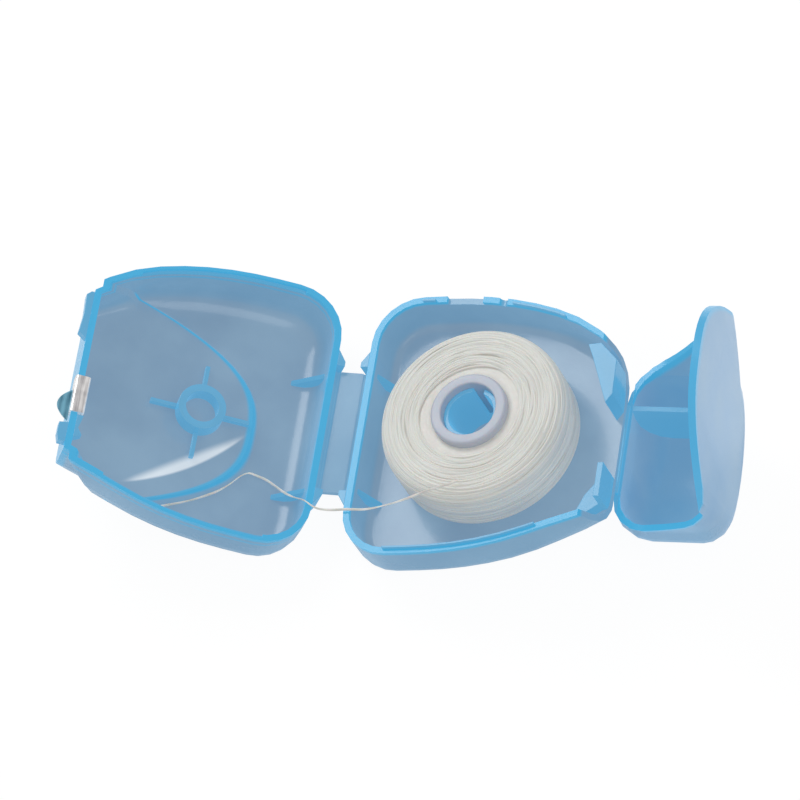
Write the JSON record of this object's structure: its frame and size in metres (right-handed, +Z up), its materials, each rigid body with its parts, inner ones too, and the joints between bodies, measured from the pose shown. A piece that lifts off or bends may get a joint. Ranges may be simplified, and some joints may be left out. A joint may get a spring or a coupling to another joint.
{
  "type": "dental floss dispenser",
  "caption": "Open dental floss dispenser: hinged clamshell case of translucent plastic with a wound floss spool, steel cutter clip and flip cap.",
  "frame": {"origin": "centre of the back shell's outer face, on the spool's axis", "axes": "+X from the front shell towards the cap, across the hinges; +Y along the hinges, towards the case's far side; +Z up from the table"},
  "size_m": [0.1214, 0.052, 0.0518],
  "materials": {
    "shell": "translucent, lightly frosted",
    "edge": "translucent, glossy",
    "core": "satin",
    "floss": "waxed thread",
    "steel": "bright"
  },
  "bodies": {
    "back_body": {"back_shell": "shell", "rim_tongue": "edge", "back_cheeks": "edge", "spool_post": "edge", "floss_guide": "edge", "latch_block": "edge", "floss_strand": "floss"},
    "spine_body": {"spine_plate": "shell", "back_hinge_film": "shell", "front_hinge_film": "shell"},
    "front_body": {"front_shell": "shell", "front_cheeks": "edge", "hub_boss": "edge", "hub_ribs": "edge", "neck_tab": "edge", "cutter_seat": "edge", "cutter_clip": "steel", "cutter_tooth": "steel"},
    "cap_body": {"cap_shell": "shell", "cap_rib": "edge", "cap_nubs": "edge", "cap_hinge_film": "shell"},
    "spool_body": {"spool_core": "core", "floss_pack": "floss", "floss_turns": "floss"}
  },
  "joints": [
    {"name": "spine_hinge", "type": "hinge", "parent": "back_body", "child": "spine_body", "pos_m": [-0.02471, 0, 0.00018], "axis": [0, 1, 0], "range_deg": [-12.4, 77.6], "deforming": ["floss_strand"]},
    {"name": "front_hinge", "type": "hinge", "parent": "spine_body", "child": "front_body", "pos_m": [-0.03001, 0, -0.00008], "axis": [0, 1, 0], "range_deg": [-21.7, 68.3]},
    {"name": "cap_hinge", "type": "hinge", "parent": "back_body", "child": "cap_body", "pos_m": [0.02397, -0.0018, 0.00713], "axis": [0, 1, 0], "range_deg": [-97, 10]},
    {"name": "spool_spin", "type": "hinge", "parent": "back_body", "child": "spool_body", "pos_m": [0, 0, 0], "axis": [-0.262, 0, 0.9651], "continuous": true}
  ]
}
